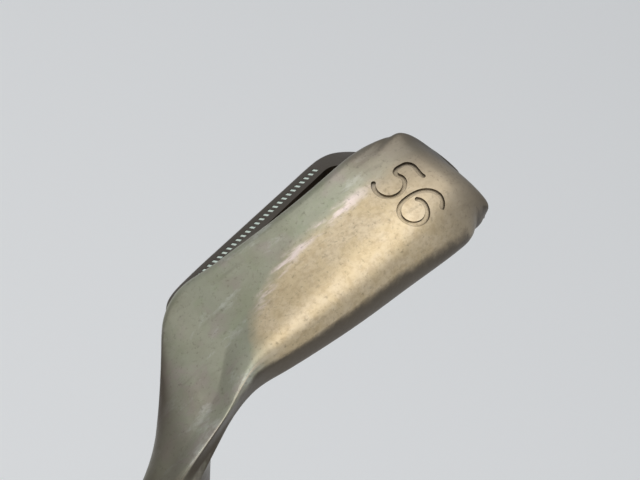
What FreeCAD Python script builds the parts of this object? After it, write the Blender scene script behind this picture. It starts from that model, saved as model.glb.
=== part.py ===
"""Sand wedge, a golf club: cast head, ferrule, stepped steel shaft, rubber grip and the small
pieces inside them. Millimetres. The club stands head up with its shaft on +Z and the middle of
the butt end at the origin; the toe points to +X and the club face looks towards -Y.
"""

import FreeCAD
import Part
import Sketcher

import math
import os
import re

from FreeCAD import Matrix, Placement, Rotation, Vector

doc = FreeCAD.newDocument("sand_wedge")

# ---------------------------------------------------------------- driving dimensions
DIMENSIONS = [
    # club
    ("club_length", 902.0, "butt end to the point where the shaft axis meets the ground"),
    ("lie_angle", 64.5, "shaft to ground, degrees"),
    ("loft_angle", 56.4, "face tilt from the vertical, degrees"),
    # hosel
    ("hosel_height", 72.0, "ground to hosel mouth, along the shaft axis"),
    ("hosel_diameter", 14.3, "outside of the hosel barrel"),
    ("bore_diameter", 9.30, "hole for the shaft tip and its glue"),
    ("bore_depth", 38.0, "hosel mouth to the bottom of the hole"),
    ("neck_fan_radius", 6.5, "round of the crotch between hosel and topline"),
    # blade
    ("blade_length", 73.2, "shaft axis at the ground to the tip of the toe"),
    ("heel_station", 17.1, "where the blade's first straight section stands"),
    ("toe_turn_length", 8.3, "stretch before the toe where the outline turns up to it"),
    ("face_advance", -0.75, "leading edge in front of the shaft axis"),
    ("edge_height", 4.65, "leading edge above the ground"),
    ("sole_width_heel", 28.4, "whole sole, at the heel station"),
    ("sole_width_toe", 35.4, "whole sole, at the toe"),
    ("relief_width_heel", 16.5, "ground-back strip behind the sole, at the heel"),
    ("relief_width_toe", 2.8, "ground-back strip behind the sole, at the toe"),
    ("relief_fade", 0.67, "power of the strip's narrowing from heel to toe"),
    ("bounce_angle", 12.5, "sole to ground, degrees"),
    ("relief_angle", 10.0, "strip to ground, degrees"),
    ("rocker_middle", 50.2, "where the sole's leading edge is lowest"),
    ("rocker_radius", 60.0, "bend of the leading edge from heel to toe"),
    ("sole_camber", 4.4, "rise of the rounded sole over its chord"),
    ("topline_heel", 40.7, "face height at the heel station"),
    ("topline_slope", 0.29, "rise of the topline along the blade"),
    ("topline_width", 7.1, "thickness of the blade at the topline"),
    ("toe_middle", 11.8, "face height of the toe's furthest point"),
    ("toe_lift", 3.6, "back corner of the toe above its furthest point"),
    ("toe_depth", 6.7, "back corner of the toe behind the face"),
    ("back_turn_length", 19.8, "stretch before the toe where the trailing edge turns in"),
    # cavity and marks
    ("web_thickness", 3.4, "face plate left behind the face"),
    ("rim_width", 6.0, "rim round the cavity"),
    ("cavity_round", 2.0, "corner of the cavity"),
    ("groove_pitch", 3.6, "score line spacing"),
    ("groove_width", 0.9, "score line width"),
    ("groove_depth", 0.45, "score line depth"),
    ("number_height", 8.6, "stamped number on the sole"),
    ("number_from_toe", 14.2, "middle of the stamped number, back from the toe"),
    ("stroke_width", 0.9, "stroke of the stamped number"),
    ("stroke_depth", 0.45, "depth of the stamped number"),
    ("tick_width", 0.7, "painted tick marks along the rim"),
    ("tick_height", 1.6, "tick marks across the rim"),
    ("tick_depth", 0.40, "depth of a tick mark"),
    ("tick_count", 30, "tick marks in the row"),
    ("paint_depth", 0.28, "paint left in a tick mark"),
    # ferrule and tip
    ("ferrule_length", 25.0, "ferrule above the hosel"),
    ("ferrule_top_diameter", 11.4, "ferrule at its thin end"),
    ("ferrule_bore_gap", 0.05, "ferrule bore over the shaft, on the radius"),
    ("shaft_insertion", 36.0, "shaft tip inside the hosel"),
    # shaft
    ("shaft_tip_diameter", 9.02, "taper tip"),
    ("shaft_tip_length", 205.0, "plain stretch above the shaft tip"),
    ("shaft_butt_diameter", 15.24, "plain butt under the grip"),
    ("shaft_step_count", 14, "rolled steps between tip and butt"),
    ("shaft_step_length", 27.0, "length of each step"),
    ("shaft_wall", 0.62, "steel wall"),
    ("step_ramp", 1.6, "cone between two steps"),
    # tip weight
    ("weight_length", 22.0, "pin inside the shaft tip"),
    ("weight_gap", 0.10, "pin to the inside of the shaft, on the radius"),
    ("weight_head", 1.6, "head of the pin, under the tip"),
    # grip
    ("grip_length", 267.0, "grip from mouth to butt end"),
    ("grip_mouth_diameter", 19.0, "thin end"),
    ("grip_butt_diameter", 27.0, "thick end"),
    ("cap_diameter", 29.0, "end cap rim"),
    ("cap_thickness", 5.0, "end cap"),
    ("vent_diameter", 3.2, "vent hole in the end cap"),
    ("tape_thickness", 0.15, "double-sided grip tape"),
    ("tape_setback", 4.0, "grip mouth to the end of the tape inside it"),
]

sheet = doc.addObject("Spreadsheet::Sheet", "dimensions")
for row, (alias, value, note) in enumerate(DIMENSIONS, start=1):
    sheet.set(f"A{row}", alias)
    sheet.set(f"B{row}", str(value))
    sheet.set(f"C{row}", note)
    sheet.setAlias(f"B{row}", alias)
doc.recompute()


def size(alias):
    """One driving dimension, as a plain number."""
    return float(getattr(sheet, alias))


LIE = math.radians(size("lie_angle"))
LOFT = math.radians(size("loft_angle"))

# Places along the blade that keep their distance from its toe.
TOE_TURN = size("blade_length") - size("toe_turn_length")
BACK_TURN = size("blade_length") - size("back_turn_length")
NUMBER_STATION = size("blade_length") - size("number_from_toe")

# The head is laid out as it meets the ground: X along the blade from heel to toe, Y towards
# the target, Z up, with the shaft axis crossing the ground at the origin.
SHAFT_DIRECTION = Vector(-math.cos(LIE), 0, math.sin(LIE))
FACE_UP = Vector(0, -math.sin(LOFT), math.cos(LOFT))
FACE_BACK = Vector(0, -math.cos(LOFT), -math.sin(LOFT))

# It is then turned so that the shaft runs straight down from it to the butt end.
HEAD_PLACEMENT = Placement(
    Matrix(
        math.sin(LIE), 0, math.cos(LIE), 0,
        0, -1, 0, 0,
        math.cos(LIE), 0, -math.sin(LIE), size("club_length"),
        0, 0, 0, 1,
    )
)


# ---------------------------------------------------------------- blade sections
def mix(start, end, share):
    return start + (end - start) * share


def ease(share):
    share = min(max(share, 0.0), 1.0)
    return share * share * (3 - 2 * share)


def quarter_round(share):
    """0 to 1 as a quarter circle rises: flat at first, upright at the end."""
    share = min(max(share, 0.0), 1.0)
    return 1 - math.sqrt(1 - share * share)


def on_face(up, back):
    """(Y, Z) of a point given up the face from the leading edge and back from the face."""
    y = size("face_advance") + up * FACE_UP.y + back * FACE_BACK.y
    z = size("edge_height") + up * FACE_UP.z + back * FACE_BACK.z
    return Vector(y, z, 0)


# The topline starts to turn down before the leading edge turns up.
TOPLINE_EARLY = 4
# The trailing edge's turn would end a little past the toe, so that its last section has width.
BACK_OVERRUN = 0.4
# The topline dips beside the neck, over a short stretch.
HEEL_DIP, HEEL_DIP_LENGTH = 1.6, 9
# The thick lower back of the blade: its height as a share, and its depth, at heel and toe.
LEDGE_SHARE_HEEL, LEDGE_SHARE_TOE = 0.42, 0.30
LEDGE_DEPTH_HEEL, LEDGE_DEPTH_TOE = 8.0, 8.6
# Rounds of the section's corners: topline front, leading edge, crease, trailing edge, ledge
# and topline back.
CORNER_ROUNDS = [0.7, 4.6, 4.5, 2.4, 6.0, 1.2]


def blade_corners(station):
    """Six corners of the section at one station along the blade, with their rounds."""
    length = size("blade_length")
    along = (station - size("heel_station")) / (length - size("heel_station"))
    turn = (station - TOE_TURN) / (length - TOE_TURN)
    rise = size("toe_middle") * quarter_round(turn)
    rocker = (station - size("rocker_middle")) ** 2 / 2 / size("rocker_radius")
    fade = max(along, 0.0) ** size("relief_fade")
    relief = mix(size("relief_width_heel"), size("relief_width_toe"), fade)
    main = mix(size("sole_width_heel"), size("sole_width_toe"), along) - relief
    bounce = math.radians(size("bounce_angle"))
    lift = math.radians(size("relief_angle"))

    def face_frame(y, z):
        return Vector(
            y * FACE_UP.y + z * FACE_UP.z, y * FACE_BACK.y + z * FACE_BACK.z, 0
        )

    low = Vector(rocker * FACE_UP.z, 0, 0)
    leading = low + Vector(rise, 0, 0)
    crease = low + face_frame(-main * math.cos(bounce), -main * math.sin(bounce))
    trailing = crease + face_frame(-relief * math.cos(lift), relief * math.sin(lift))
    blunt = quarter_round((station - BACK_TURN) / (length - BACK_TURN + BACK_OVERRUN))
    toe_point = Vector(size("toe_middle") + size("toe_lift"), size("toe_depth"), 0)
    trailing = mix(trailing, toe_point, blunt)
    crease = mix(crease, mix(leading, trailing, 0.85), ease(turn))
    top_line = size("topline_heel") + size("topline_slope") * (
        station - size("heel_station")
    )
    top = top_line - (top_line - size("toe_middle")) * quarter_round(
        (station - TOE_TURN + TOPLINE_EARLY) / (length - TOE_TURN + TOPLINE_EARLY)
    )
    from_heel = (station - size("heel_station")) / HEEL_DIP_LENGTH
    top -= HEEL_DIP * max(0.0, 1 - from_heel) ** 2
    ledge = mix(LEDGE_SHARE_HEEL, LEDGE_SHARE_TOE, along)
    ledge_depth = mix(LEDGE_DEPTH_HEEL, LEDGE_DEPTH_TOE, along)
    shoulder = Vector(mix(trailing.x, top, ledge), ledge_depth, 0)
    back_top = Vector(top, size("topline_width"), 0)
    front_top = Vector(top, 0, 0)
    corners = [front_top, leading, crease, trailing, shoulder, back_top]
    return [on_face(c.x, c.y) for c in corners], CORNER_ROUNDS


LINE_POINTS = 5
ROUND_POINTS = 7


def rounded_outline(corners, radii, camber):
    """A closed polygon with rounded corners, as pairs of a straight and a round.

    Each is a list of points. The second straight, which is the sole, is bowed outwards.
    """
    count = len(corners)
    middle = Vector(0, 0, 0)
    for corner in corners:
        middle += corner * (1.0 / count)
    rounds = []
    for i, corner in enumerate(corners):
        before = corners[i - 1] - corner
        after = corners[(i + 1) % count] - corner
        half = before.getAngle(after) / 2
        reach = radii[i] / math.tan(half)
        reach = min(reach, 0.42 * before.Length, 0.42 * after.Length)
        start = corner + before * (reach / before.Length)
        end = corner + after * (reach / after.Length)
        turned = math.pi - 2 * half
        weight = math.cos(turned / 2)
        points = []
        for step in range(ROUND_POINTS):
            t = step / (ROUND_POINTS - 1)
            a, b, c = (1 - t) ** 2, 2 * weight * t * (1 - t), t * t
            points.append((start * a + corner * b + end * c) * (1 / (a + b + c)))
        rounds.append(points)
    pieces = []
    for i in range(count):
        following = (i + 1) % count
        start, end = rounds[i][-1], rounds[following][0]
        straight = [mix(start, end, s / (LINE_POINTS - 1)) for s in range(LINE_POINTS)]
        pieces.append(straight)
        pieces.append(rounds[following])
    start, end = pieces[1][0], pieces[3][-1]
    bow = end - start
    outward = Vector(bow.y, -bow.x, 0).normalize()
    if outward.dot(start - middle) < 0:
        outward = outward * -1
    for index in (1, 2, 3):
        for number, point in enumerate(pieces[index]):
            share = (point - start).dot(bow) / bow.dot(bow)
            lift = camber * 16 * (share * (1 - share)) ** 2
            pieces[index][number] = point + outward * lift
    return pieces


def blade_section(station):
    corners, radii = blade_corners(station)
    camber = size("sole_camber")
    pieces = rounded_outline(corners, radii, camber)
    return [[Vector(station, p.x, p.y) for p in piece] for piece in pieces]


# ---------------------------------------------------------------- hosel and neck sections
FAN_RADIUS = size("neck_fan_radius")
HOSEL_RADIUS = size("hosel_diameter") / 2
FAN_X = size("heel_station")
HEEL_TOP = max(p.z for piece in blade_section(FAN_X) for p in piece)
# The crotch's round touches the hosel and the topline; its middle is the pivot of the fan.
FAN_Z = (HOSEL_RADIUS + FAN_RADIUS - FAN_X * math.sin(LIE)) / math.cos(LIE)
FAN_Z = max(FAN_Z, HEEL_TOP + FAN_RADIUS)
PIVOT = Vector(FAN_X, 0, FAN_Z)
PIVOT_UP_SHAFT = PIVOT.dot(SHAFT_DIRECTION)
# Step along the blade over which its slope is measured.
BLADE_STEP = 0.5


def piece_angles():
    """Angles round the hosel, in degrees, at which each piece of a section starts.

    They share out the circle as the pieces share out the heel section's outline, so that
    the neck between the two has no kink. 0 is the heel side, 90 the front.
    """
    lengths = [
        sum((b - a).Length for a, b in zip(piece, piece[1:]))
        for piece in blade_section(FAN_X)
    ]
    turn = 360.0 / sum(lengths)
    angles = [FACE_START_ANGLE]
    for length in lengths:
        angles.append(angles[-1] - length * turn)
    return angles


FACE_START_ANGLE = 168.0
PIECE_ANGLES = piece_angles()


def hosel_section(up_shaft, radius):
    """A circle round the shaft axis, cut into the same pieces as a blade section."""
    pieces = []
    across = Vector(math.sin(LIE), 0, math.cos(LIE))
    for index in range(12):
        count = LINE_POINTS if index % 2 == 0 else ROUND_POINTS
        start, end = PIECE_ANGLES[index], PIECE_ANGLES[index + 1]
        points = []
        for step in range(count):
            angle = math.radians(mix(start, end, step / (count - 1)))
            heelward = across * (-radius * math.cos(angle))
            front = Vector(0, radius * math.sin(angle), 0)
            points.append(SHAFT_DIRECTION * up_shaft + heelward + front)
        pieces.append(points)
    return pieces


def leaving(start, end, end_rate, share):
    """A cubic from start, which it leaves level, to end, where it has a given rate."""
    square, cube = share ** 2, share ** 3
    return start + (end - start) * (3 * square - 2 * cube) + end_rate * (cube - square)


def neck_section(share):
    """Between the hosel's lowest circle, at 0, and the blade's first section, at 1.

    A point's reach from the pivot and its y change so that the neck meets the blade with the
    blade's own slope, and the hosel along the shaft.
    """
    circle = hosel_section(PIVOT_UP_SHAFT, HOSEL_RADIUS)
    blade = blade_section(FAN_X)
    beside = blade_section(FAN_X + BLADE_STEP)
    outward_start = Vector(-math.sin(LIE), 0, -math.cos(LIE))
    angle = LIE * (1 - share)
    turned = Vector(-math.sin(angle), 0, -math.cos(angle))
    pieces = []
    for round_piece, blade_piece, next_piece in zip(circle, blade, beside):
        points = []
        for on_circle, on_blade, after in zip(round_piece, blade_piece, next_piece):
            reach_circle = (on_circle - PIVOT).dot(outward_start)
            reach_blade = PIVOT.z - on_blade.z
            pace = LIE * reach_blade / BLADE_STEP
            rise, drift = (on_blade.z - after.z) * pace, (after.y - on_blade.y) * pace
            reach = leaving(reach_circle, reach_blade, rise, share)
            y = leaving(on_circle.y, on_blade.y, drift, share)
            points.append(PIVOT + turned * reach + Vector(0, y, 0))
        pieces.append(points)
    return pieces


def head_sections():
    sections = [
        hosel_section(size("hosel_height"), HOSEL_RADIUS),
        hosel_section(mix(PIVOT_UP_SHAFT, size("hosel_height"), 0.67), HOSEL_RADIUS),
        hosel_section(mix(PIVOT_UP_SHAFT, size("hosel_height"), 0.33), HOSEL_RADIUS),
        hosel_section(PIVOT_UP_SHAFT + 5, HOSEL_RADIUS),
    ]
    sections += [neck_section(share / 6) for share in range(0, 6)]
    heel, turn, length = FAN_X, TOE_TURN, size("blade_length")
    sections += [blade_section(mix(heel, turn, i / 8)) for i in range(9)]
    toe_steps = 12
    for i in range(1, toe_steps):
        angle = math.pi / 2 * i / toe_steps
        sections.append(blade_section(mix(turn, length, math.sin(angle))))
    return sections


def spline_through(points, parameters):
    curve = Part.BSplineCurve()
    curve.interpolate(Points=points, Parameters=parameters)
    return curve


def skin(rows, along):
    """A smooth surface through a grid of points, one row for each section."""
    across = [float(i) for i in range(len(rows[0]))]
    curves = [spline_through(row, across) for row in rows]
    columns = zip(*[curve.getPoles() for curve in curves])
    lengthwise = [spline_through(list(column), along) for column in columns]
    poles = [list(row) for row in zip(*[curve.getPoles() for curve in lengthwise])]
    surface = Part.BSplineSurface()
    surface.buildFromPolesMultsKnots(
        poles,
        lengthwise[0].getMultiplicities(),
        curves[0].getMultiplicities(),
        lengthwise[0].getKnots(),
        curves[0].getKnots(),
        False,
        False,
        lengthwise[0].Degree,
        curves[0].Degree,
    )
    return surface.toShape()


def section_spacing(sections):
    """Knot values along the head: the mean distance from each section to the next."""
    along = [0.0]
    for first, second in zip(sections, sections[1:]):
        steps = [
            (a - b).Length
            for piece, following in zip(first, second)
            for a, b in zip(piece, following)
        ]
        along.append(along[-1] + sum(steps) / len(steps))
    return along


def make_head_blank():
    sections = head_sections()
    along = section_spacing(sections)
    faces = []
    for index in range(12):
        faces.append(skin([section[index] for section in sections], along))
    for section in (sections[0], sections[-1]):
        edges = [
            spline_through(piece, [float(i) for i in range(len(piece))]).toShape()
            for piece in section
        ]
        faces.append(Part.Face(Part.Wire(edges)))
    shell = Part.makeShell(faces)
    shell.sewShape()
    return Part.makeSolid(shell)


# ---------------------------------------------------------------- cuts in the head
def block(corner, first, second, third, sizes):
    """A box from one corner along three directions square to each other."""
    box = Part.makeBox(*sizes)
    box.Placement = Placement(
        Matrix(
            first.x, second.x, third.x, corner.x,
            first.y, second.y, third.y, corner.y,
            first.z, second.z, third.z, corner.z,
            0, 0, 0, 1,
        )
    )
    return box


def sole_point(station, y):
    """The point of the sole at a station along the blade and a distance towards the target."""
    pieces = blade_section(station)
    points = pieces[1] + pieces[2][1:] + pieces[3][1:] + pieces[4][1:]
    for before, after in zip(points, points[1:]):
        if after.y <= y <= before.y:
            return before + (after - before) * ((y - before.y) / (after.y - before.y))
    return points[0] if y > points[0].y else points[-1]


def sole_outward(station, y):
    along = sole_point(station + 0.5, y) - sole_point(station - 0.5, y)
    across = sole_point(station, y + 0.5) - sole_point(station, y - 0.5)
    return along.cross(across).normalize() * -1


def back_point(station, below_top):
    """The point of the back of the blade at a distance below the topline."""
    start, end = blade_section(station)[8][0], blade_section(station)[8][-1]
    return end + (start - end).normalize() * below_top


def stroke_face(points, half_width):
    """A flat face of one width along a path of points in the XY plane, with round ends."""
    path = Part.BSplineCurve()
    path.interpolate(points)
    samples = 40
    sides = [[], []]
    for step in range(samples + 1):
        share = mix(path.FirstParameter, path.LastParameter, step / samples)
        along = path.tangent(share)[0]
        across = Vector(-along.y, along.x, 0) * half_width
        sides[0].append(path.value(share) + across)
        sides[1].insert(0, path.value(share) - across)
    edges = []
    first, last = path.FirstParameter, path.LastParameter
    ends = (
        path.value(last) + path.tangent(last)[0] * half_width,
        path.value(first) - path.tangent(first)[0] * half_width,
    )
    for number, side in enumerate(sides):
        edge = Part.BSplineCurve()
        edge.interpolate(side)
        edges.append(edge.toShape())
        following = sides[1 - number][0]
        edges.append(Part.Arc(side[-1], ends[number], following).toShape())
    return Part.Face(Part.Wire(edges))


# Each figure is one stroke: its points (across, up) in a cell one wide and CELL_HEIGHT high.
CELL_HEIGHT = 1.7
FIVE = [
    (0.95, 1.70), (0.60, 1.70), (0.25, 1.68), (0.12, 1.56), (0.08, 1.34), (0.08, 1.14),
    (0.20, 1.02), (0.48, 1.08), (0.82, 0.96), (1.00, 0.56), (0.84, 0.16), (0.42, 0.00),
    (0.00, 0.16),
]
SIX = [
    (0.90, 1.52), (0.52, 1.70), (0.16, 1.40), (0.00, 0.75), (0.12, 0.22), (0.50, 0.00),
    (0.88, 0.18), (1.00, 0.55), (0.84, 0.92), (0.52, 1.04), (0.26, 0.92),
]


# Where each figure's cell starts, in cell widths from the middle of the number.
FIVE_START, SIX_START = -1.16, 0.16
# The number's middle behind the leading edge, as a share of the sole.
NUMBER_PLACE = 0.52
# The prism of a figure, from below the sole to above it.
PRISM_BOTTOM, PRISM_TOP = -6, 2


def make_number_tools(blank):
    """The loft angle's two figures, reading from the leading edge with the toe up.

    Each is a prism of the figure's outline, less the blank moved in by the strokes' depth,
    so that the floor of the figure keeps the sole's curve.
    """
    unit = size("number_height") / CELL_HEIGHT
    station = NUMBER_STATION
    y = size("face_advance") - NUMBER_PLACE * size("sole_width_toe")
    middle, outward = sole_point(station, y), sole_outward(station, y)
    across = Vector(1, 0, 0).cross(outward).normalize()
    up = outward.cross(across)
    floor = blank.copy()
    floor.translate(outward * -size("stroke_depth"))
    tools = []
    for figure, start in ((FIVE, FIVE_START), (SIX, SIX_START)):
        points = [
            Vector((start + x) * unit, (z - CELL_HEIGHT / 2) * unit, PRISM_BOTTOM)
            for x, z in figure
        ]
        outline = stroke_face(points, size("stroke_width") / 2)
        prism = outline.extrude(Vector(0, 0, PRISM_TOP - PRISM_BOTTOM))
        prism.Placement = Placement(
            Matrix(
                across.x, up.x, outward.x, middle.x,
                across.y, up.y, outward.y, middle.y,
                across.z, up.z, outward.z, middle.z,
                0, 0, 0, 1,
            )
        )
        tools.append(prism.cut(floor))
    return tools


CAVITY_PRISM = 30
# The cavity's lower edge below the ledge, and its toe end as a share of the toe's turn.
CAVITY_DROP, CAVITY_TOE = 2.5, 0.35


def make_cavity_tool():
    """A prism square to the face, whose outline keeps a rim inside the back of the blade."""
    rim, corner = size("rim_width"), size("cavity_round")
    length, turn = size("blade_length"), TOE_TURN

    def heights(station):
        corners = blade_corners(station)[0]
        edge = on_face(0, 0)
        up = [(c - edge).dot(Vector(FACE_UP.y, FACE_UP.z, 0)) for c in corners]
        return up[4] - CAVITY_DROP, up[0] - rim

    heel = FAN_X
    while heights(heel)[1] - heights(heel)[0] < 2.2 * corner:
        heel += 0.5
    toe = mix(turn, length, CAVITY_TOE)
    shoulder = turn - 4.0
    outline = [
        (heel, heights(heel)[0]),
        (toe - 1.5, heights(toe - 1.5)[0]),
        (toe, heights(toe)[1] - 1.0),
        (shoulder, heights(shoulder)[1]),
        (heel, heights(heel)[1]),
    ]
    points = []
    for station, up in outline:
        flat = on_face(up, size("web_thickness"))
        points.append(Vector(station, flat.x, flat.y))
    face = Part.Face(Part.makePolygon(points + points[:1]))
    prism = face.extrude(FACE_BACK * CAVITY_PRISM)
    upright = [
        edge for edge in prism.Edges
        if abs(edge.Length - CAVITY_PRISM) < 0.001
    ]
    return prism.makeFillet(corner, upright)


# Score lines keep this far from the leading edge, the topline, the heel and the toe's turn.
SCORE_LOW, SCORE_HIGH, SCORE_HEEL, SCORE_TOE = 4.5, 5, 4.0, 4.0
SHORTEST_SCORE = 8


def make_score_tools():
    """Straight grooves across the face, each ending short of the outline."""
    tools = []
    pitch, width = size("groove_pitch"), size("groove_width")
    toe_end = TOE_TURN - SCORE_TOE
    low = blade_corners(toe_end)[0][1]
    first = (low - on_face(0, 0)).dot(Vector(FACE_UP.y, FACE_UP.z, 0)) + SCORE_LOW
    up = first
    slope, base = size("topline_slope"), size("topline_heel")
    while up < base + slope * (toe_end - FAN_X) - SCORE_HIGH:
        heel_end = max(FAN_X + SCORE_HEEL, FAN_X + (up + SCORE_HIGH - base) / slope)
        if toe_end - heel_end > SHORTEST_SCORE:
            flat = on_face(up - width / 2, size("groove_depth"))
            corner = Vector(heel_end, flat.x, flat.y)
            sizes = (width, toe_end - heel_end, 5)
            box = block(corner, FACE_UP, Vector(1, 0, 0), FACE_BACK * -1, sizes)
            tools.append(box)
        up += pitch
    return tools


# Middle of the tick marks, as a share of the rim below the topline.
TICK_PLACE = 0.38
# The row's ends, from the heel's section and from the toe's turn.
TICKS_FROM_HEEL, TICKS_FROM_TURN = 3.0, 6.0


def make_tick_blocks(bottom, top):
    """A block for each tick mark, from one depth to another under the back of the rim."""
    blocks = []
    count = int(size("tick_count"))
    start, end = FAN_X + TICKS_FROM_HEEL, TOE_TURN - TICKS_FROM_TURN
    width, height = size("tick_width"), size("tick_height")
    for number in range(count):
        station = mix(start, end, number / (count - 1))
        middle = back_point(station, size("rim_width") * TICK_PLACE)
        along = (
            back_point(station + 0.5, size("rim_width") * TICK_PLACE)
            - back_point(station - 0.5, size("rim_width") * TICK_PLACE)
        ).normalize()
        up = back_point(station, 0) - back_point(station, 5)
        outward = along.cross(up).normalize()
        up = outward.cross(along)
        corner = middle - along * (width / 2) - up * (height / 2) + outward * bottom
        sizes = (width, height, top - bottom)
        blocks.append(block(corner, along, up, outward, sizes))
    return blocks


# ---------------------------------------------------------------- document objects
def bound(expression):
    """An expression over the sheet's words, written the way the document reads it."""
    words = [alias for alias, value, note in DIMENSIONS]
    return re.sub(
        "[a-z_]+",
        lambda found: "dimensions." + found.group(0) if found.group(0) in words else found.group(0),
        expression,
    )


def feature(kind, name, shape=None, placement=None):
    item = doc.addObject(kind, name)
    if shape is not None:
        item.Shape = shape
    if placement is not None:
        item.Placement = placement
    return item


def cut(name, base, tool):
    item = doc.addObject("Part::Cut", name)
    item.Base = base
    item.Tool = tool
    return item


def origin_plane(body, role):
    return [item for item in body.Origin.OriginFeatures if item.Role == role][0]


def turned_body(name, outline):
    """A body turned about the shaft axis from an outline of (radius, height) expressions."""
    body = doc.addObject("PartDesign::Body", name)
    sketch = body.newObject("Sketcher::SketchObject", name + "_outline")
    sketch.AttachmentSupport = [(origin_plane(body, "XZ_Plane"), "")]
    sketch.MapMode = "FlatFace"
    corners = [
        Vector(sheet.evalExpression(bound(radius)), sheet.evalExpression(bound(height)), 0)
        for radius, height in outline
    ]
    for number, corner in enumerate(corners):
        following = corners[(number + 1) % len(corners)]
        sketch.addGeometry(Part.LineSegment(corner, following), False)
    for number, (radius, height) in enumerate(outline):
        following = (number + 1) % len(outline)
        sketch.addConstraint(Sketcher.Constraint("Coincident", number, 2, following, 1))
        for kind, axis, text in (("DistanceX", -2, radius), ("DistanceY", -1, height)):
            if text == "0":
                fixed = Sketcher.Constraint("PointOnObject", number, 1, axis)
                sketch.addConstraint(fixed)
                continue
            at = corners[number].x if kind == "DistanceX" else corners[number].y
            index = sketch.addConstraint(Sketcher.Constraint(kind, -1, 1, number, 1, at))
            sketch.setExpression(f"Constraints[{index}]", bound(text))
    turn = body.newObject("PartDesign::Revolution", name + "_turn")
    turn.Profile = sketch
    turn.ReferenceAxis = (sketch, ["V_Axis"])
    turn.Angle = 360
    body.Tip = turn
    doc.recompute()
    return body


def round_rims(body, name, rims, radius):
    """Round the circular edges that lie at the given (radius, height) expressions."""
    wanted = [
        (sheet.evalExpression(bound(across)), sheet.evalExpression(bound(height)))
        for across, height in rims
    ]
    names = []
    for number, edge in enumerate(body.Tip.Shape.Edges, start=1):
        if not isinstance(edge.Curve, Part.Circle):
            continue
        at = (edge.Curve.Radius, edge.Curve.Center.z)
        if any(math.dist(at, rim) < 0.01 for rim in wanted):
            names.append(f"Edge{number}")
    base = body.Tip
    rounding = body.newObject("PartDesign::Fillet", name)
    rounding.Base = (base, names)
    rounding.setExpression("Radius", bound(radius))
    body.Tip = rounding
    doc.recompute()


def make_head():
    blank = feature("Part::Feature", "head_blank", make_head_blank())
    bore = feature("Part::Cylinder", "hosel_bore")
    bore.setExpression("Radius", bound("bore_diameter / 2"))
    bore.setExpression("Height", bound("bore_depth + 1"))
    foot = SHAFT_DIRECTION * (size("hosel_height") - size("bore_depth"))
    bore.Placement = Placement(foot, Rotation(Vector(0, 0, 1), SHAFT_DIRECTION))
    cavity = feature("Part::Feature", "cavity_tool", make_cavity_tool())
    scores = feature("Part::Feature", "score_tools", Part.makeCompound(make_score_tools()))
    ticks = make_tick_blocks(-size("tick_depth"), 1.0)
    tick_tools = feature("Part::Feature", "tick_tools", Part.makeCompound(ticks))
    bored = cut("head_bored", blank, bore)
    hollowed = cut("head_hollowed", bored, cavity)
    scored = cut("head_scored", hollowed, scores)
    marked = cut("head_marked", scored, tick_tools)
    for number, tube in enumerate(make_number_tools(blank.Shape), start=1):
        stroke = feature("Part::Feature", f"stroke_{number}", tube)
        marked = cut(f"head_stroke_{number}", marked, stroke)
    marked.Placement = HEAD_PLACEMENT
    marked.Label = "head"
    return marked


def make_paint():
    depth = size("tick_depth")
    blocks = make_tick_blocks(-depth, size("paint_depth") - depth)
    paint = feature("Part::Feature", "rim_marks_paint", Part.makeCompound(blocks))
    paint.Placement = HEAD_PLACEMENT
    return paint


MOUTH = "club_length - hosel_height"
TIP = MOUTH + " + shaft_insertion"
BUTT = "cap_thickness"


def make_glue():
    """The glue round the shaft tip and under it."""
    return turned_body(
        "hosel_glue",
        [
            ("shaft_tip_diameter / 2", MOUTH),
            ("shaft_tip_diameter / 2", TIP + " + weight_head"),
            ("0", TIP + " + weight_head"),
            ("0", MOUTH + " + bore_depth"),
            ("bore_diameter / 2", MOUTH + " + bore_depth"),
            ("bore_diameter / 2", MOUTH),
        ],
    )


def make_ferrule():
    body = turned_body(
        "ferrule",
        [
            ("shaft_tip_diameter / 2 + ferrule_bore_gap", MOUTH),
            ("hosel_diameter / 2", MOUTH),
            ("hosel_diameter / 2 - 0.2", MOUTH + " - ferrule_length * 0.3"),
            ("hosel_diameter / 2 - 0.7", MOUTH + " - ferrule_length * 0.65"),
            ("ferrule_top_diameter / 2", MOUTH + " - ferrule_length"),
            ("shaft_tip_diameter / 2 + ferrule_bore_gap", MOUTH + " - ferrule_length"),
        ],
    )
    round_rims(
        body, "ferrule_round", [("ferrule_top_diameter / 2", MOUTH + " - ferrule_length")], "0.5"
    )
    return body


def make_shaft():
    """A stepped steel tube: its radius falls by an equal step at each ring towards the tip."""
    count = int(size("shaft_step_count"))
    outside = [("shaft_tip_diameter / 2", TIP)]
    for step in range(count):
        ring = TIP + f" - shaft_tip_length - shaft_step_length * {step}"
        rise = "(shaft_butt_diameter - shaft_tip_diameter) / 2 / shaft_step_count"
        outside.append((f"shaft_tip_diameter / 2 + {rise} * {step}", ring))
        outside.append((f"shaft_tip_diameter / 2 + {rise} * {step + 1}", ring + " - step_ramp"))
    outside.append(("shaft_butt_diameter / 2", BUTT))
    inside = [(radius + " - shaft_wall", height) for radius, height in outside]
    return turned_body("shaft", outside + inside[::-1])


def make_tip_weight():
    """A pin inside the shaft tip, with a head as wide as the tip that stops it."""
    pin = "shaft_tip_diameter / 2 - shaft_wall - weight_gap"
    return turned_body(
        "tip_weight",
        [
            ("0", TIP + " - weight_length"),
            (pin, TIP + " - weight_length"),
            (pin, TIP),
            ("shaft_tip_diameter / 2", TIP),
            ("shaft_tip_diameter / 2", TIP + " + weight_head"),
            ("0", TIP + " + weight_head"),
        ],
    )


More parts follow.
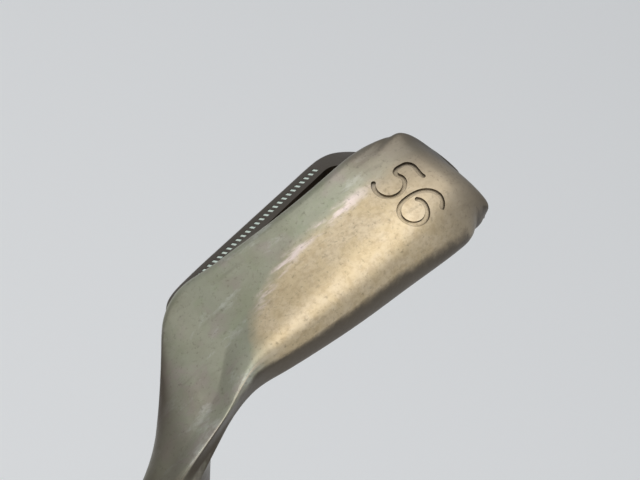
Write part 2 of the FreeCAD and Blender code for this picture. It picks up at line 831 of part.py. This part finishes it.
def make_tape():
    return turned_body(
        "grip_tape",
        [
            ("shaft_butt_diameter / 2", BUTT),
            ("shaft_butt_diameter / 2", "grip_length - tape_setback"),
            ("shaft_butt_diameter / 2 + tape_thickness", "grip_length - tape_setback"),
            ("shaft_butt_diameter / 2 + tape_thickness", BUTT),
        ],
    )


def make_grip():
    body = turned_body(
        "grip",
        [
            ("shaft_butt_diameter / 2 + tape_thickness", BUTT),
            ("grip_butt_diameter / 2", BUTT),
            ("grip_butt_diameter / 2 - 1.4", "grip_length * 0.35"),
            ("grip_mouth_diameter / 2 + 0.6", "grip_length * 0.97"),
            ("grip_mouth_diameter / 2", "grip_length"),
            ("shaft_butt_diameter / 2", "grip_length"),
            ("shaft_butt_diameter / 2", "grip_length - tape_setback"),
            ("shaft_butt_diameter / 2 + tape_thickness", "grip_length - tape_setback"),
        ],
    )
    round_rims(body, "grip_round", [("grip_mouth_diameter / 2", "grip_length")], "0.8")
    return body


def make_cap():
    body = turned_body(
        "grip_cap",
        [
            ("vent_diameter / 2", "0"),
            ("cap_diameter / 2", "0"),
            ("cap_diameter / 2", "cap_thickness"),
            ("vent_diameter / 2", "cap_thickness"),
        ],
    )
    round_rims(
        body,
        "cap_round",
        [("cap_diameter / 2", "0"), ("cap_diameter / 2", "cap_thickness")],
        "cap_thickness * 0.34",
    )
    return body


SUBPARTS = [
    make_head(),
    make_paint(),
    make_glue(),
    make_ferrule(),
    make_shaft(),
    make_tip_weight(),
    make_tape(),
    make_grip(),
    make_cap(),
]
doc.recompute()

# ---------------------------------------------------------------- checks and export
for item in doc.Objects:
    if "Invalid" in item.State or "Error" in item.State:
        raise RuntimeError(f"{item.Name} failed: {item.State}")
for item in SUBPARTS:
    if item.Shape.isNull() or not item.Shape.isValid():
        raise RuntimeError(f"{item.Label} has no valid shape")

os.makedirs("parts", exist_ok=True)
for item in SUBPARTS:
    item.Shape.exportStep(f"parts/{item.Label}.step")
    print(f"{item.Label}: {item.Shape.Volume:.0f} mm3, {len(item.Shape.Solids)} solid(s)")
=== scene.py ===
# %% [markdown]
# # A sand wedge with an aged bronze head
#
# The club is a cast bronze head on a stepped steel shaft with a rubber grip. The CAD frame
# already holds every piece at its true size, so this file adds what the eye looks for:
# worn, patinated metal, a moulded grip and a soft studio.
#
# Everything is in metres. The shaft's axis is the Z axis, the butt stands at zero and the
# head is at the top, because that is how the CAD frame holds the club.

# %% The frame
import math

import bmesh
import bpy
import numpy as np
from mathutils import Matrix, Vector


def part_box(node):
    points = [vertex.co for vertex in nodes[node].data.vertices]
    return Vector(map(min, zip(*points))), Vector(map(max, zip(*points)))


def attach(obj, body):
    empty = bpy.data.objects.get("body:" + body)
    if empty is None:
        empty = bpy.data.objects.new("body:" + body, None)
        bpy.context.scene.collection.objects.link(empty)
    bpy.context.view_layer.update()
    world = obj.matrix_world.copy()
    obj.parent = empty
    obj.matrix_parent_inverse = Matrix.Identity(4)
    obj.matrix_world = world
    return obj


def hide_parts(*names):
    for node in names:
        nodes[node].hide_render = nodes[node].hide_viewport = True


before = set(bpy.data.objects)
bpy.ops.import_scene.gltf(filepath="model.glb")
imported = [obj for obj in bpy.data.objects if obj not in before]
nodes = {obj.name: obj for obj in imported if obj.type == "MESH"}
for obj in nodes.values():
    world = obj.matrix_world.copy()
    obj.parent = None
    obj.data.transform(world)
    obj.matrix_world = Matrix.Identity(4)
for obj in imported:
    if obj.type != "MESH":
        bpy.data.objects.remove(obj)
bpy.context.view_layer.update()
MM = 0.001
print("CAD pieces:", ", ".join(sorted(nodes)))

# %% [markdown]
# ## The camera
#
# The club is seen from its heel with the sole turned up to the light, close, through a long
# lens. A camera is set by where it stands and by the three directions of its body: right,
# up, and back towards the operator. Writing the directions out keeps the camera's own
# tilt, which a plain look-at would lose.

# %% Camera
STAND = Vector((-0.17465, -0.09664, 1.13406))
RIGHT = Vector((0.70875, -0.60242, 0.36710))
UP = Vector((0.26437, 0.70926, 0.65350))
BACK = RIGHT.cross(UP).normalized()
SENSOR_WIDTH, LENS = 36.0, 101.4

camera_data = bpy.data.cameras.new("camera")
camera_data.sensor_width = SENSOR_WIDTH
camera_data.lens = LENS
camera_data.clip_start = 0.01
camera_data.clip_end = 20.0
camera = bpy.data.objects.new("camera", camera_data)
body_directions = Matrix((RIGHT, UP, BACK)).transposed().to_4x4()
camera.matrix_world = Matrix.Translation(STAND) @ body_directions
bpy.context.scene.collection.objects.link(camera)
bpy.context.scene.camera = camera
print("camera looks along", [round(v, 3) for v in -BACK])

# %% [markdown]
# ## Words for shader maths
#
# A procedural finish is arithmetic on patterns. Two small helpers keep it readable: a
# `Socket` that turns `a * b + 1` into Math nodes, and a `Finish` whose one method `node`
# adds any other node from its type, settings and inputs.


# %% Shader helpers
class Socket:
    """One output of a node. Arithmetic on it adds Math nodes to the same tree."""

    def __init__(self, finish, output):
        self.finish = finish
        self.output = output

    def math(self, operation, *others):
        values = dict(enumerate((self, *others)))
        return self.finish.node("ShaderNodeMath", {"operation": operation}, values)

    def __add__(self, other):
        return self.math("ADD", other)

    def __sub__(self, other):
        return self.math("SUBTRACT", other)

    def __rsub__(self, other):
        return self.math("MULTIPLY", -1.0).math("ADD", other)

    def __mul__(self, other):
        return self.math("MULTIPLY", other)

    __radd__ = __add__
    __rmul__ = __mul__

    def clamp(self):
        values = {"Value": self, "Min": 0.0, "Max": 1.0}
        return self.finish.node("ShaderNodeClamp", {}, values)

    def ramp(self, start, end):
        """0 at start, 1 at end and past it, a smooth step between; start may be the higher."""
        return self.finish.node(
            "ShaderNodeMapRange",
            {"interpolation_type": "SMOOTHSTEP"},
            {"Value": self, "From Min": start, "From Max": end},
        )


class Finish:
    """A material under construction: its nodes, and the shader at its end."""

    def __init__(self, name, **constants):
        self.material = bpy.data.materials.new(name)
        self.material.use_nodes = True
        self.tree = self.material.node_tree
        self.shader = self.tree.nodes["Principled BSDF"]
        self.fill(
            self.shader, {key.replace("_", " ").title(): v for key, v in constants.items()}
        )
        self.place = self.node("ShaderNodeTexCoord", {}, {}, "Object")

    def fill(self, node, values):
        """Sets a node's inputs: a wire for another node's output, else a constant."""
        for key, value in values.items():
            socket = node.inputs[key]
            if isinstance(value, Socket):
                self.tree.links.new(value.output, socket)
            elif socket.type == "RGBA":
                socket.default_value = (*value, 1.0)
            else:
                socket.default_value = value

    def node(self, kind, settings, values, output=0):
        """Any node: its type, its settings, its inputs by name, and which output to return."""
        made = self.tree.nodes.new(kind)
        for key, value in settings.items():
            setattr(made, key, value)
        self.fill(made, values)
        return Socket(self, made.outputs[output])

    def turned(self, scale, turn=(0.0, 0.0, 0.0)):
        """Object coordinates, turned and stretched for a pattern with a direction."""
        values = {"Vector": self.place, "Scale": scale, "Rotation": turn}
        return self.node("ShaderNodeMapping", {"vector_type": "POINT"}, values)

    def noise(self, scale, detail=2.0, rough=0.5, vector=None, twist=0.0):
        """A cloudy pattern from 0 to 1, with about `scale` blotches to a metre."""
        values = {
            "Vector": vector or self.place,
            "Scale": scale,
            "Detail": detail,
            "Roughness": rough,
            "Distortion": twist,
        }
        return self.node("ShaderNodeTexNoise", {"noise_dimensions": "3D"}, values)

    def blend(self, factor, first, second):
        """A colour that goes from first to second as the factor goes from 0 to 1."""
        values = {0: factor, 6: first, 7: second}
        return self.node("ShaderNodeMix", {"data_type": "RGBA"}, values, 2)

    def axis(self, name, vector=None):
        """One part of a vector as a number: of Object coordinates, unless another is given."""
        return self.node("ShaderNodeSeparateXYZ", {}, {"Vector": vector or self.place}, name)

    def openness(self, reach):
        """1 on open surface, towards 0 in a recess of the same piece; reach is in metres."""
        settings = {"samples": 8, "only_local": True}
        return self.node("ShaderNodeAmbientOcclusion", settings, {"Distance": reach}, "AO")

    def relief(self, height, strength, distance):
        """A bump from a height pattern, joined to the shader's Normal."""
        values = {"Height": height, "Strength": strength, "Distance": distance}
        self.fill(self.shader, {"Normal": self.node("ShaderNodeBump", {}, values)})


def linear(red, green, blue):
    """A colour written as on a screen, 0 to 255, as the linear light that a shader wants."""
    shares = np.array([red, green, blue]) / 255.0
    light = np.where(shares <= 0.04045, shares / 12.92, ((shares + 0.055) / 1.055) ** 2.4)
    return tuple(float(v) for v in light)


def wear(name, finish):
    """Gives a CAD piece, a new piece or the floor its finish."""
    piece = bpy.data.objects[name]
    piece.data.materials.clear()
    piece.data.materials.append(finish.material)
    print(name, "wears", finish.material.name, "of", len(finish.tree.nodes), "nodes")


print("a mid grey in linear light:", [round(v, 3) for v in linear(128, 128, 128)])

# %% [markdown]
# ## The head's casting
#
# The frame's mesh of the head is loose triangles. A copy is merged, so that light can be
# shaded smoothly over the sole and the neck, while edges sharper than a set angle, such as
# score lines, the stamped number and the cavity, stay crisp.

# %% A merged copy of a CAD piece
MERGE_DISTANCE = 2e-6
CREASE_DEGREES = 28.0


def merged_copy(node_name, new_name, crease_degrees):
    """The same surface with its triangles joined; edges past the crease angle stay sharp."""
    mesh = nodes[node_name].data.copy()
    mesh.name = new_name
    piece = bpy.data.objects.new(new_name, mesh)
    bpy.context.scene.collection.objects.link(piece)
    if mesh.has_custom_normals:
        bpy.context.view_layer.objects.active = piece
        piece.select_set(True)
        bpy.ops.mesh.customdata_custom_splitnormals_clear()
        piece.select_set(False)
    work = bmesh.new()
    work.from_mesh(mesh)
    bmesh.ops.remove_doubles(work, verts=work.verts, dist=MERGE_DISTANCE)
    crease = math.radians(crease_degrees)
    for edge in work.edges:
        edge.smooth = not (edge.is_manifold and edge.calc_face_angle(0.0) > crease)
    for face in work.faces:
        face.smooth = True
    work.to_mesh(mesh)
    work.free()
    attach(piece, "root")
    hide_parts(node_name)
    print(new_name, "has", len(mesh.polygons), "faces")


merged_copy("head", "head_casting", CREASE_DEGREES)

# %% [markdown]
# ## Aged bronze
#
# Old bronze is not one colour. Turf keeps the flat of the sole bare and tan, and the strip
# ground off behind it and the neck go grey-green with faint violet and green tints. Light and
# shade are painted into the colour too: the leading edge, the neck's front, the recesses, the
# hosel, the toe's end and corner, the rim band and the heel's side go dark brown as painted
# shade, the neck's ridge gets a pale painted highlight, and the crease a rose line of wear and
# painted highlight. So the finish is a map of the head: each zone is a mask, its border broken
# up by noise, and the masks pick between a few colours. Smooth ramps on coordinates were
# chosen over painted textures because they need no image and stay sharp at any distance.
#
# Most zones come from the place on the head. Those that follow an edge come from the
# direction that the surface faces, which keeps them on the edge however it bends.

# %% Patterns
bronze = Finish("aged_bronze", metallic=1.0)
along, across, height = (bronze.axis(name) for name in "XYZ")
ragged = bronze.noise(420.0, 4.0, 0.62) - 0.5
wander = bronze.noise(90.0, 3.0, 0.55) - 0.5
cloud = bronze.noise(75.0, 3.0, 0.6)
mottle = bronze.noise(230.0, 4.0, 0.6, twist=0.5)
speckle = bronze.noise(950.0, 3.0, 0.7)
grain = bronze.noise(1500.0, 3.0, 0.62)
tint_pattern = bronze.noise(130.0, 2.0)

# Brushing runs along the head, scuffs a little across it: both are noise drawn out.
BRUSHED, BRUSH_TURN = (0.16, 1.0, 0.35), (0.0, 0.5, 0.5)
SCRAPED, SCRAPE_TURN = (0.35, 1.0, 0.5), (0.0, 0.4, 0.8)
streaks = bronze.noise(700.0, 3.0, 0.55, bronze.turned(BRUSHED, BRUSH_TURN))
scuffs = bronze.noise(260.0, 5.0, 0.68, bronze.turned(SCRAPED, SCRAPE_TURN))
print("nine patterns of noise and three coordinates")


# %% Zones by place
def zone(measure, start, end):
    """A mask that is 0 where a measure is at start and 1 at end, both in millimetres."""
    return measure.ramp(start * MM, end * MM)


# The crease between sole and strip bends away from the heel: it nears a straight line
# as e to the minus distance.
CREASE_FAR, CREASE_BEND, CREASE_START = 25.5 * MM, 9.0 * MM, 21.0 * MM
CREASE_RATE = 100.0
crease = CREASE_FAR - CREASE_BEND * ((CREASE_START - along) * CREASE_RATE).math("EXPONENT")
behind_crease = across - crease + ragged * (2.2 * MM) + wander * (1.5 * MM)
on_crease = 1.0 - zone(behind_crease.math("ABSOLUTE"), 0.2, 1.7)
crease_middle = zone(along, 20, 26) * (1.0 - zone(along, 44, 52))

# How much the borders of the heel and of the darker toe lean over.
HEEL_LEAN, TOE_LEAN = 0.35, 0.35
strip = zone(behind_crease, -2.4, 2.4)
heel = zone(along + height * HEEL_LEAN + wander * (6 * MM), 341.5, 331.0)
# The toe is coloured a darker brown-grey towards its end.
darker_toward_toe = zone(along + across * TOE_LEAN + wander * (9 * MM), 52.0, 68.0)
# Painted shade on the toe's corner and end.
toe_corner = zone(along + across + wander * (4 * MM), 78.0, 92.0)
toe_end = zone(along + wander * (4 * MM), 60.0, 67.0)
# Painted shade on the rim band.
rim = zone(across + ragged * MM, 34.5, 38.5)
neck = zone(height, 902.0, 890.0)
# Painted shade on the hosel.
hosel = zone(height + wander * (3 * MM), 900.0, 893.5)
print("zones by place: crease, strip, heel, toe, rim, neck, hosel")

# %% Zones by direction
facing = bronze.node("ShaderNodeTexCoord", {}, {}, "Normal")
side_share, front_share = (bronze.axis(name, facing) * -1.0 for name in "XY")
TOE_SIDE = 0.7
front_or_toe = front_share - side_share * TOE_SIDE
# Painted shade: where the surface turns to the front, at the leading edge, the colour is
# darkened.
leading = (front_share + ragged * 0.07 + wander * 0.05).ramp(0.88, 0.98)
# Painted shade: surfaces that face the heel's side are darkened.
heel_side_shade = (side_share + wander * 0.1).ramp(0.66, 0.94)
# Painted shade: the neck's front, turned away from the lamps, is coloured dark brown.
neck_front_shade = (front_or_toe + wander * 0.1).ramp(0.45, 0.85) * zone(height, 905.0, 899.5)
# Painted highlight: a pale gold band along the neck's ridge.
RIDGE_DIRECTION = 0.30
off_ridge = (front_or_toe - RIDGE_DIRECTION).math("ABSOLUTE")
ridge = off_ridge.ramp(0.24, 0.06) * zone(height, 913.0, 907.0)
print("zones by direction: leading edge, heel border, neck front and ridge")

# %% Colours of the zones
WORN_TAN = linear(214, 194, 158)
# Pale gold: the bright tone of the mottled metal, and the painted highlight on the neck's ridge.
PALE_GOLD_FOR_TONE_AND_HIGHLIGHT = linear(232, 216, 190)
TAN_SHADE = linear(170, 146, 112)
TOE_BROWN = linear(152, 141, 125)
GREY_GREEN = linear(166, 168, 150)
GREEN_TINT = linear(154, 162, 136)
VIOLET_TINT = linear(168, 154, 152)
OLIVE = linear(124, 120, 100)
SCUFFED = linear(216, 216, 206)
ROSE = linear(244, 226, 220)
# Dark brown: the brushed grain, and the painted shade on the edges, toe, hosel, rim and heel
# side.
DARK_BROWN_FOR_SHADE_AND_GRAIN = linear(92, 84, 74)
# Painted shade in recesses.
RECESS_SHADE_COLOUR = linear(58, 50, 46)

tint = bronze.blend(tint_pattern.ramp(0.40, 0.62), GREEN_TINT, VIOLET_TINT)
patina = bronze.blend(mottle.ramp(0.42, 0.62) * 0.55, GREY_GREEN, tint)
patina = bronze.blend(cloud.ramp(0.42, 0.66) * 0.32, patina, OLIVE)
# Painted shade in recesses: ambient occlusion darkens the score lines, the number, the marks and
# the cavity's corners.
recess_shade = 1.0 - bronze.openness(0.9 * MM)
# Painted shade: the toe's end and corner, the hosel, the heel's side and the rim band are
# darkened in the colour.
shaded = toe_end * 0.6 + toe_corner * 0.65 + hosel * 0.7 + heel_side_shade * 0.5 + rim * 0.65

# Each layer covers those before it: where it lies, how thickly, and its colour.
LAYERS = [
    (mottle.ramp(0.35, 0.70), 0.50, PALE_GOLD_FOR_TONE_AND_HIGHLIGHT),
    (speckle.ramp(0.40, 0.66), 0.30, TAN_SHADE),
    ((strip + heel + neck).clamp(), 0.92, patina),
    ((strip + heel).clamp() * scuffs.ramp(0.54, 0.68), 0.42, SCUFFED),
    # a rose line along the crease, part worn metal and part painted highlight
    (on_crease * crease_middle * streaks.ramp(0.42, 0.60), 0.80, ROSE),
    # painted highlight along the neck's ridge
    (ridge, 0.60, PALE_GOLD_FOR_TONE_AND_HIGHLIGHT),
    (darker_toward_toe, 0.85, TOE_BROWN),
    # painted shade on the toe, hosel, heel side and rim
    (shaded.clamp(), 1.00, DARK_BROWN_FOR_SHADE_AND_GRAIN),
    # painted shade on the leading edge and the neck's front
    ((leading + neck_front_shade).clamp(), 0.95, DARK_BROWN_FOR_SHADE_AND_GRAIN),
    (grain.ramp(0.55, 0.75), 0.35, DARK_BROWN_FOR_SHADE_AND_GRAIN),
    (streaks.ramp(0.58, 0.75), 0.18, DARK_BROWN_FOR_SHADE_AND_GRAIN),
    # painted shade in recesses
    (recess_shade.ramp(0.12, 0.45), 0.60, RECESS_SHADE_COLOUR),
]
colour = WORN_TAN
for mask, thickness, layer_colour in LAYERS:
    colour = bronze.blend(mask * thickness, colour, layer_colour)
print(len(LAYERS), "layers of colour on worn tan")

# %% Gloss and fine relief
MEAN_ROUGHNESS = 0.40
roughness = MEAN_ROUGHNESS + (mottle - 0.5) * 0.16 + grain * 0.12 - strip * 0.06
bronze.fill(bronze.shader, {"Base Color": colour, "Roughness": roughness.clamp()})
bronze.relief(grain * 0.5 + streaks * 0.5 + mottle * 0.8, strength=0.35, distance=0.10 * MM)
wear("head_casting", bronze)

# %% [markdown]
# ## Paint, ferrule and shaft
#
# Three plain materials, each with the small unevenness that keeps it from looking like a
# sample card: chalky paint in the rim's marks, plastic with a haze in its gloss, and chrome
# whose gloss varies in faint streaks along the tube.

# %% Paint in the rim's marks
paint = Finish("chalky_paint", roughness=0.7)
chalkiness = paint.noise(2500.0, 2.0)
paint_colour = paint.blend(chalkiness, linear(176, 196, 190), linear(226, 232, 218))
paint.fill(paint.shader, {"Base Color": paint_colour})
wear("rim_marks_paint", paint)

# %% Ferrule
black_plastic = Finish("black_plastic", base_color=linear(16, 16, 17), coat_weight=0.4)
haze = black_plastic.noise(300.0, 3.0)
black_plastic.fill(black_plastic.shader, {"Roughness": haze * 0.12 + 0.16})
wear("ferrule", black_plastic)

# %% Shaft
chrome = Finish("chromed_steel", metallic=1.0)
DRAWN_OUT = (1.0, 1.0, 0.05)
lengthwise = chrome.noise(220.0, 3.0, 0.5, chrome.turned(DRAWN_OUT))
dust = chrome.noise(90.0, 4.0, 0.6)
chrome_colour = chrome.blend(dust, linear(200, 202, 204), linear(190, 191, 191))
chrome_roughness = lengthwise * 0.06 + dust * 0.02 + 0.05
chrome.fill(chrome.shader, {"Base Color": chrome_colour, "Roughness": chrome_roughness})
wear("shaft", chrome)

# %% [markdown]
# ## The grip
#
# A golf grip is one moulded rubber sleeve that tapers towards the shaft. Its surface is cut
# by fine grooves so that it does not slip. A bump map would not show at the outline, nor
# in the piece's mesh, so the grooves are modelled: the sleeve is a closed profile carried
# round the shaft's axis, and its outer wall dips wherever two sets of crossing spirals pass.

# %% The sleeve's outer wall
GRIP_LOW, GRIP_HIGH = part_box("grip")
BUTT_END, MOUTH = GRIP_LOW.z, GRIP_HIGH.z
BUTT_RADIUS, MOUTH_RADIUS = GRIP_HIGH.x, 9.5 * MM
LIP_ROUND, LIP_STEPS, LIP_START = 0.8 * MM, 6, 0.2
BELOW_LIP = 0.4 * MM
ROUNDS, ROWS = 132, 420

# The taper changes at two heights, as shares of the mouth's.
TAPER_SHARES = np.array([0.35, 0.97])
SLOW_TAPER, MOUTH_FLARE = 1.4 * MM, 0.6 * MM

SPIRALS, SPIRAL_PITCH, SPIRAL_DEPTH, SPIRAL_SHARPNESS = 11, 11 * MM, 0.55 * MM, 9
BAND_MIDDLE, BAND_HALF = 140 * MM, 6 * MM
RING_PITCH, RING_DEPTH, RING_SHARPNESS = 3 * MM, 0.4 * MM, 4
PLAIN_BUTT, PLAIN_MOUTH, FADE = 8 * MM, 18 * MM, 5 * MM


def sleeve_radius(level):
    """Three straight tapers joined end to end, less the quarter round of the lip."""
    taper = np.interp(
        level,
        [BUTT_END, *(MOUTH * TAPER_SHARES), MOUTH],
        [BUTT_RADIUS, BUTT_RADIUS - SLOW_TAPER, MOUTH_RADIUS + MOUTH_FLARE, MOUTH_RADIUS],
    )
    into_lip = np.clip((level - MOUTH) / LIP_ROUND + 1.0, 0.0, 1.0)
    return taper - LIP_ROUND * (1.0 - np.sqrt(1.0 - into_lip**2))


def crest(phase, sharpness):
    """Narrow crests, one for each turn of the phase: (1 + cos phase) / 2 to a high power."""
    return (0.5 + 0.5 * np.cos(phase)) ** sharpness


lip = MOUTH - LIP_ROUND * (1.0 - np.sin(np.linspace(LIP_START, np.pi / 2, LIP_STEPS)))
levels = np.concatenate([np.linspace(BUTT_END, lip[0] - BELOW_LIP, ROWS), lip])
turns = np.linspace(0.0, 2 * np.pi, ROUNDS, endpoint=False)
tall, around = np.meshgrid(levels, turns, indexing="ij")
winding = (tall - BUTT_END) * 2 * np.pi / SPIRAL_PITCH
spirals = np.maximum(
    crest(around * SPIRALS + winding, SPIRAL_SHARPNESS),
    crest(around * SPIRALS - winding, SPIRAL_SHARPNESS),
)
band = np.exp(-(((tall - BAND_MIDDLE) / BAND_HALF) ** 4))
rings = crest((tall - BAND_MIDDLE) * 2 * np.pi / RING_PITCH, RING_SHARPNESS) * band
from_butt = np.clip((tall - BUTT_END - PLAIN_BUTT) / FADE, 0, 1)
from_mouth = np.clip((MOUTH - PLAIN_MOUTH - tall) / FADE, 0, 1)
spiral_dip = SPIRAL_DEPTH * spirals * from_butt * from_mouth * (1 - band)
outer = sleeve_radius(tall) - (spiral_dip + RING_DEPTH * rings)
print("outer wall", outer.shape, "radius from", outer.min(), "to", outer.max())

# %% The sleeve as one closed surface
SHARP_DEGREES = 50


def closed_sleeve(name, outer_radius, outer_level, bore_radius, bore_level):
    """The outer wall up and the bore down, each row joined to the next and the last to the first.

    Point (i, j) is (r cos t, r sin t, z): r and z are those of row i, t is the turn of
    column j, and the columns close on themselves too.
    """
    columns = outer_radius.shape[1]
    rows = np.vstack([outer_radius, np.repeat(bore_radius[:, None], columns, axis=1)])
    tiers = np.vstack([outer_level, np.repeat(bore_level[:, None], columns, axis=1)])
    points = np.stack([rows * np.cos(turns), rows * np.sin(turns), tiers], axis=-1)
    here = np.arange(rows.size).reshape(rows.shape)
    right, above = np.roll(here, -1, axis=1), np.roll(here, -1, axis=0)
    quads = np.stack([here, right, np.roll(above, -1, axis=1), above], axis=-1)
    mesh = bpy.data.meshes.new(name)
    mesh.from_pydata(points.reshape(-1, 3).tolist(), [], quads.reshape(-1, 4).tolist())
    mesh.shade_smooth()
    mesh.set_sharp_from_angle(angle=math.radians(SHARP_DEGREES))
    piece = bpy.data.objects.new(name, mesh)
    bpy.context.scene.collection.objects.link(piece)
    print(name, "has", len(mesh.polygons), "faces")
    return piece


SHAFT_RADIUS, TAPE, TAPE_SETBACK = 7.62 * MM, 0.15 * MM, 4 * MM
TAPE_END = MOUTH - TAPE_SETBACK
bore_level = np.array([MOUTH, TAPE_END, TAPE_END, MOUTH / 2, BUTT_END])
bore_radius = SHAFT_RADIUS + np.array([0, 0, TAPE, TAPE, TAPE])
grip = closed_sleeve("grip_sleeve", outer, tall, bore_radius, bore_level)
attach(grip, "root")
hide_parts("grip")

# %% Rubber
rubber = Finish("grip_rubber")
chalk = rubber.noise(120.0, 4.0, 0.6)
pores = rubber.noise(2600.0, 2.0)
rubber_colour = rubber.blend(chalk.ramp(0.4, 0.8), linear(38, 38, 39), linear(58, 57, 55))
# Painted shade: the grip's grooves are darkened where the surface is enclosed.
groove_shade = 1.0 - rubber.openness(1.2 * MM)
rubber_colour = rubber.blend(groove_shade * 0.7, rubber_colour, linear(16, 16, 16))
rubber.fill(rubber.shader, {"Base Color": rubber_colour, "Roughness": chalk * 0.15 + 0.62})
rubber.relief(pores, strength=0.3, distance=0.2 * MM)
wear("grip_sleeve", rubber)
wear("grip_cap", rubber)

# %% [markdown]
# ## Pieces that stay out of sight
#
# Glue, tape and the tip weight are inside the club. They still get a finish of their own,
# because a part in a library is also looked at taken apart.

# %% Glue, tape and tip weight
epoxy = Finish("cured_epoxy", roughness=0.35)
epoxy_colour = epoxy.blend(epoxy.noise(400.0, 2.0), linear(196, 178, 128), linear(214, 200, 158))
epoxy.fill(epoxy.shader, {"Base Color": epoxy_colour})
wear("hosel_glue", epoxy)

tape = Finish("paper_tape", roughness=0.85)
crepe = tape.noise(500.0, 3.0, 0.6, tape.turned((1.0, 1.0, 4.0)))
tape_colour = tape.blend(crepe, linear(214, 208, 192), linear(232, 228, 216))
tape.fill(tape.shader, {"Base Color": tape_colour})
tape.relief(crepe, strength=0.4, distance=0.05 * MM)
wear("grip_tape", tape)

brass = Finish("turned_brass", metallic=1.0)
lathe_rings = brass.noise(1200.0, 2.0, 0.5, brass.turned((0.05, 0.05, 1.0)))
brass_colour = brass.blend(lathe_rings, linear(204, 176, 112), linear(222, 196, 132))
brass.fill(brass.shader, {"Base Color": brass_colour, "Roughness": lathe_rings * 0.15 + 0.22})
wear("tip_weight", brass)

# %% [markdown]
# ## Floor and light
#
# The studio is plain and pale: a wide floor, an even sky of nearly its tone, one large soft
# lamp over the sole and a weak one from the heel's side. Bronze shows what it mirrors, so
# the big lamp stands where the sole mirrors it and the leading edge does not, which is what
# makes the sole glow and leaves its edge dark; painted shade in the bronze's colour darkens
# the edge further.

# %% Sky and floor
SKY_COLOUR, SKY_STRENGTH = (0.94, 0.97, 1.0, 1.0), 0.55
FLOOR_HALF = 6.0

world = bpy.data.worlds.new("studio")
world.use_nodes = True
sky = world.node_tree.nodes["Background"]
sky.inputs["Color"].default_value = SKY_COLOUR
sky.inputs["Strength"].default_value = SKY_STRENGTH
bpy.context.scene.world = world

floor_mesh = bpy.data.meshes.new("floor")
corners = [
    (x * FLOOR_HALF, y * FLOOR_HALF, 0.0) for x, y in ((-1, -1), (1, -1), (1, 1), (-1, 1))
]
floor_mesh.from_pydata(corners, [], [(0, 1, 2, 3)])
floor = bpy.data.objects.new("floor", floor_mesh)
bpy.context.scene.collection.objects.link(floor)
wear("floor", Finish("pale_floor", base_color=linear(250, 250, 250), roughness=0.7))


# %% Lamps
def soft_lamp(name, place, aim, side, power):
    """A square lamp of one side length that faces a point."""
    data = bpy.data.lights.new(name, "AREA")
    data.shape = "SQUARE"
    data.size = side
    data.energy = power
    lamp = bpy.data.objects.new(name, data)
    lamp.location = place
    lamp.rotation_euler = (Vector(aim) - Vector(place)).to_track_quat("-Z", "Y").to_euler()
    bpy.context.scene.collection.objects.link(lamp)
    print(name, "lamp of", power, "W")


HEAD_MIDDLE = (0.03, 0.02, 0.91)
soft_lamp("key", (-0.08, 0.12, 2.15), HEAD_MIDDLE, side=1.8, power=10.5)
soft_lamp("fill", (-0.95, 0.62, 0.95), HEAD_MIDDLE, side=0.8, power=1.2)
bpy.context.scene.view_settings.view_transform = "Standard"

# %% [markdown]
# ## The end

# %% The end
bpy.context.view_layer.update()
